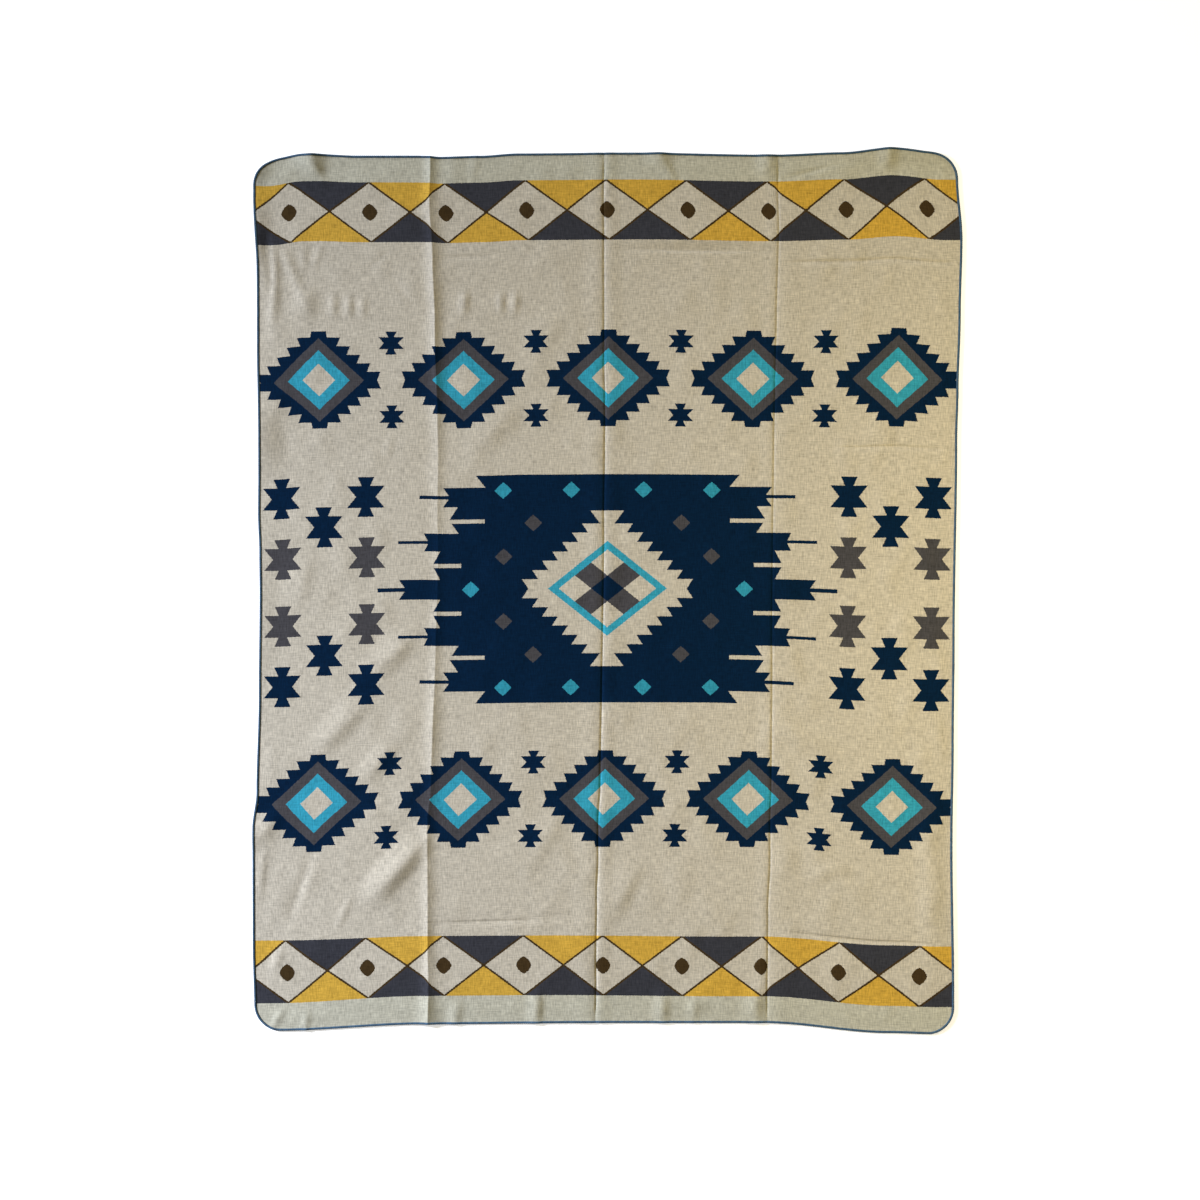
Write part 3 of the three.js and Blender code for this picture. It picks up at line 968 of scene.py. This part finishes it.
def whole_thread(place):
    """The middle of the thread that a place falls on."""
    return (place * THREADS_PER_CELL).floor().line(1 / THREADS_PER_CELL, 0.5 / THREADS_PER_CELL)


def cloth_material():
    """Jacquard cloth: the charted design on whole threads, with uneven yarn in its colour and relief."""
    material, shade, shader = start_material("jacquard_cloth")
    across, along = uv_place(shade)
    u = across.line(ENDS, -ENDS / 2)
    v = along.line(PICKS, -PICKS / 2)
    wobble_u = shade.noise(u * 0.4, v * 0.9).line(2 * WOBBLE, -WOBBLE)
    wobble_v = shade.noise(u * 0.9 + WOBBLE_START, v * 0.4).line(2 * WOBBLE, -WOBBLE)
    colour = woven_colour(shade, whole_thread(u + wobble_u), whole_thread(v + wobble_v))
    # Streaks are narrow across their thread and long along it, and slubs are wider
    warp = shade.noise(u * 0.95, v * 0.13)
    weft = shade.noise(u * 0.1 + WEFT_START, v * 0.88)
    slub = shade.noise(u * 0.3, v * 0.16, detail=3.0)
    uneven = warp.line(WARP_SHARE, weft * WEFT_SHARE) + slub * SLUB_SHARE
    colour = shade.brighten(colour, uneven + LEAST_BRIGHT)
    relief = shade.node("ShaderNodeBump", {}, {"Strength": 0.25, "Distance": 0.0008, "Height": uneven})
    set_sockets(shader, {"Roughness": 0.95, "Specular IOR Level": 0.05})
    shade.tree.links.new(colour.socket, shader.inputs["Base Color"])
    shade.tree.links.new(relief.socket, shader.inputs["Normal"])
    print("cloth material:", len(shade.tree.nodes), "nodes")
    return material


panel.data.materials.append(cloth_material())

# %% [markdown]
# The edging yarn is dark blue, a little different from one stitch to the next. Its UV map counts
# stitches along the run, so a random value for each whole stitch is enough.

# %% Edging material
EDGE_BLUE = yarn_colour(56, 82, 104)
FIBRES_ALONG = 9
FIBRES_ROUND = 40
STITCH_SHARE = 0.4
FIBRE_SHARE = 0.4
LEAST_STITCH = 0.6


def edging_material():
    """Overcast yarn: one tone for each stitch, with fine twist along the yarn as bump."""
    material, shade, shader = start_material("overcast_yarn")
    run, share = uv_place(shade)
    slanted = run + share * STITCH_SLANT
    settings = {"noise_dimensions": "1D"}
    tone = shade.node("ShaderNodeTexWhiteNoise", settings, {"W": slanted.floor()})
    fibre = shade.noise(slanted * FIBRES_ALONG, share * FIBRES_ROUND)
    uneven = tone.line(STITCH_SHARE, fibre * FIBRE_SHARE)
    colour = shade.brighten(EDGE_BLUE[:3], uneven + LEAST_STITCH)
    relief = shade.node("ShaderNodeBump", {}, {"Strength": 0.5, "Distance": 0.0003, "Height": fibre})
    set_sockets(shader, {"Roughness": 0.85, "Specular IOR Level": 0.25, "Sheen Weight": 0.1})
    shade.tree.links.new(colour.socket, shader.inputs["Base Color"])
    shade.tree.links.new(relief.socket, shader.inputs["Normal"])
    print("edging material:", len(shade.tree.nodes), "nodes")
    return material


edging.data.materials.append(edging_material())

# %% [markdown]
# The floor is plain and pale. It glows faintly, so that it stays near white while the light on the
# cloth is low enough to show its folds.

# %% Floor
FLOOR_HALF = 40.0
FLOOR_DROP = 0.0006
FLOOR_GLOW = 0.55


def floor_material():
    """A pale matte floor with a faint glow of its own."""
    material, _, shader = start_material("pale_floor")
    set_sockets(shader, {"Base Color": (0.86, 0.86, 0.86, 1), "Roughness": 0.9})
    set_sockets(shader, {"Emission Color": (1, 1, 1, 1), "Emission Strength": FLOOR_GLOW})
    return material


floor_mesh = bpy.data.meshes.new("floor")
floor_signs = [(-1, -1), (1, -1), (1, 1), (-1, 1)]
floor_corners = [(x * FLOOR_HALF, y * FLOOR_HALF, -FLOOR_DROP) for x, y in floor_signs]
floor_mesh.from_pydata(floor_corners, [], [(0, 1, 2, 3)])
floor = bpy.data.objects.new("floor", floor_mesh)
bpy.context.scene.collection.objects.link(floor)
floor.data.materials.append(floor_material())
print("floor:", 2 * FLOOR_HALF, "m across")

# %% [markdown]
# A cool window light comes low from the upper left and shows the relief. It is turned down the length,
# so the top is dimmer. A weak warm one hangs just past the right edge and fills there, and a faint low
# one from beyond the top hem shows the creases that run across.

# %% Lights
SKY_COLOUR = (0.97, 0.98, 1.0, 1)
SKY_STRENGTH = 0.045


def soft_light(name, place, aim, watts, wide, high, colour):
    """An oblong area light turned towards a point, with its wide side level."""
    data = bpy.data.lights.new(name, "AREA")
    data.shape = "RECTANGLE"
    data.size = wide
    data.size_y = high
    data.energy = watts
    data.color = colour
    light = bpy.data.objects.new(name, data)
    light.location = place
    light.rotation_euler = (Vector(aim) - Vector(place)).to_track_quat("-Z", "Y").to_euler()
    bpy.context.scene.collection.objects.link(light)
    print(name, watts, "W")


soft_light("window", (-6.4, 1.6, 2.45), (-5.6, -9, 0), 2540, 2.4, 1.4, (0.82, 0.868, 1.0))
soft_light("warm_fill", (1.2, 0, 1.3), (0.9, 0, 0), 19, 1.8, 0.3, (1.0, 0.80, 0.335))
soft_light("top_light", (0.4, 4.2, 0.8), (0.3, -2, 0), 60, 3.0, 0.5, (1.0, 1.0, 1.0))

world = bpy.data.worlds.new("pale_sky")
world.use_nodes = True
set_sockets(world.node_tree.nodes["Background"], {"Color": SKY_COLOUR, "Strength": SKY_STRENGTH})
bpy.context.scene.world = world
bpy.context.scene.view_settings.view_transform = "Standard"

# %% [markdown]
# The camera hangs straight above with a long lens, so that folds hardly lean outwards, and its aim is a
# little off the middle, as in the photograph.

# %% Camera
LENS = 65
SENSOR = 36
FRAME_WIDTH = 2.745
AIM = (-0.0173, -0.0206)

camera_data = bpy.data.cameras.new("above")
camera_data.lens = LENS
camera_data.sensor_width = SENSOR
camera = bpy.data.objects.new("above", camera_data)
camera.location = (*AIM, FRAME_WIDTH * LENS / SENSOR)
bpy.context.scene.collection.objects.link(camera)
bpy.context.scene.camera = camera
print("camera height:", round(camera.location.z, 3), "m")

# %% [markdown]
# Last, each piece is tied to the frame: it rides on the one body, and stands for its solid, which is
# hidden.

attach(panel, "root")
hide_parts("panel")
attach(edging, "root")
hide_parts("edge_binding")
